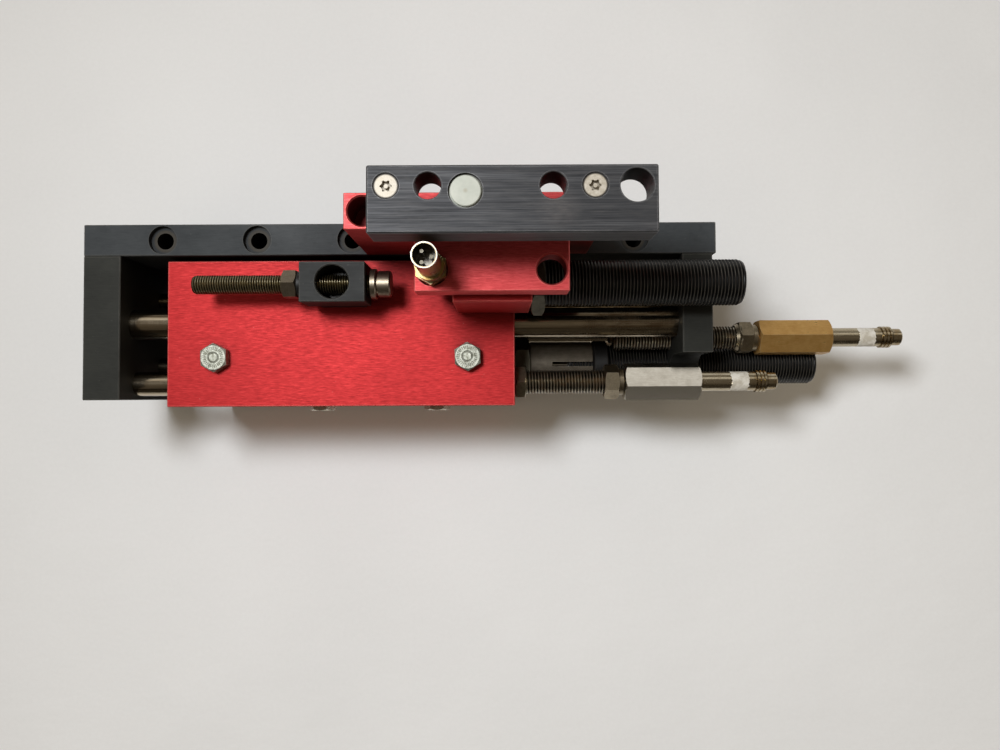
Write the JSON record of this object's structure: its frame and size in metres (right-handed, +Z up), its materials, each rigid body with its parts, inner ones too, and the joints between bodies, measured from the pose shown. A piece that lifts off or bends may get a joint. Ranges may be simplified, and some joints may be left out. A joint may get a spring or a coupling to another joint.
{
  "type": "pneumatic slide table",
  "caption": "Pneumatic slide table with a carriage on guide rods in a U-shaped frame, a lift module on top, shock absorbers, adjustable stops and end sensors.",
  "frame": {"origin": "below the middle of the base plate's mounting hole pattern, at the lower edge that the frame stands on", "axes": "+X along the carriage's travel, towards the stop tubes; +Y from the carriage towards the base plate; +Z up, towards the lift bar"},
  "size_m": [0.2692, 0.0597, 0.1203],
  "materials": {
    "black_anodised": "bluish black anodised",
    "grey_anodised": "dark grey anodised",
    "dark_bar": "dark grey anodised, streaked",
    "red_anodised": "red anodised, brushed",
    "rod_steel": "ground and polished",
    "nickel": "nickel plated",
    "zinc": "zinc plated",
    "brass_tint": "dull",
    "black_oxide": "black oxide",
    "black_rubber": "matt",
    "bronze": "sintered",
    "pale_insert": "satin"
  },
  "bodies": {
    "frame": {"base_plate": "black_anodised", "left_end_plate": "grey_anodised", "right_end_plate": "grey_anodised", "end_plate_screws": "zinc", "guide_rods": "rod_steel", "guide_rod_screws": "zinc", "piston_rod": "rod_steel", "piston": "rod_steel", "piston_seal": "black_rubber", "stop_rod": "rod_steel", "damper_rod": "rod_steel", "upper_stop_tube": "nickel", "upper_stop_nut": "nickel", "upper_stop_sleeve": "brass_tint", "upper_sensor": "nickel", "upper_sensor_end": "nickel", "lift_body": "red_anodised", "lift_body_screws": "zinc", "absorber_block": "red_anodised", "absorber_block_screws": "zinc", "upper_absorber": "black_oxide", "upper_absorber_nut": "nickel", "plug_sensor": "nickel", "plug_pins": "brass_tint", "lift_cylinder_plug": "rod_steel"},
    "carriage": {"housing": "red_anodised", "guide_bushings": "bronze", "rod_wipers": "black_rubber", "cylinder_caps": "rod_steel", "cap_rings": "rod_steel", "housing_bolts": "zinc", "air_fittings": "brass_tint", "stop_block": "black_anodised", "stop_block_screw": "zinc", "stop_screw": "nickel", "stop_screw_nut": "nickel", "stop_washer": "black_oxide", "stop_cap": "nickel", "lower_stop_tube": "nickel", "lower_stop_nuts": "nickel", "lower_stop_sleeve": "nickel", "lower_sensor": "nickel", "lower_sensor_end": "nickel", "lower_adapter": "rod_steel", "clamp_ring": "black_oxide", "lower_absorber_nut": "nickel", "lower_absorber": "black_oxide"},
    "lift": {"lift_bar": "dark_bar", "lift_rods": "rod_steel", "lift_piston": "rod_steel", "lift_bar_screws": "zinc", "lift_bar_insert": "pale_insert"},
    "upper_plunger": {"upper_plunger": "rod_steel"},
    "lower_plunger": {"lower_plunger": "rod_steel"}
  },
  "joints": [
    {"name": "carriage_slide", "type": "slide", "parent": "frame", "child": "carriage", "axis": [1, 0, 0], "range_m": [-0.012, 0.011]},
    {"name": "lift_slide", "type": "slide", "parent": "frame", "child": "lift", "axis": [0, 0, 1], "range_m": [-0.01, 0]},
    {"name": "upper_plunger_slide", "type": "slide", "parent": "frame", "child": "upper_plunger", "axis": [1, 0, 0], "range_m": [0, 0.008], "stiffness_N_per_m": 400, "springref_m": -0.002},
    {"name": "lower_plunger_slide", "type": "slide", "parent": "carriage", "child": "lower_plunger", "axis": [1, 0, 0], "range_m": [0, 0.008], "stiffness_N_per_m": 400, "springref_m": -0.002}
  ]
}
